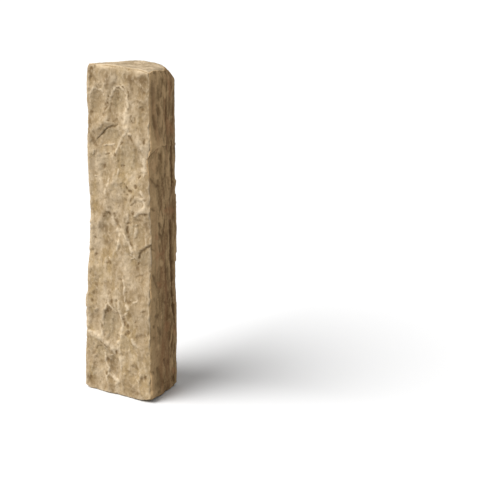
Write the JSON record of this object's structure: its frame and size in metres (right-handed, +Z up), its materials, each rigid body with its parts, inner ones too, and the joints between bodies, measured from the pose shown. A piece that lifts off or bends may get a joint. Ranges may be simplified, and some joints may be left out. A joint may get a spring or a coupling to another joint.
{
  "type": "limestone edging stone",
  "caption": "Long rough-split limestone block with waved, flaked faces, worn arrises and a broken end, set upright or on its side to border paths and beds.",
  "frame": {"origin": "on the floor, under the middle of the stone's box", "axes": "+X across the broad front face, +Y from the front to the back, +Z up the length"},
  "size_m": [0.218, 0.1598, 1],
  "materials": {
    "limestone": "rough split, matt, tan with paler ridges"
  },
  "bodies": {
    "root": {"edging_stone": "limestone"}
  },
  "joints": []
}
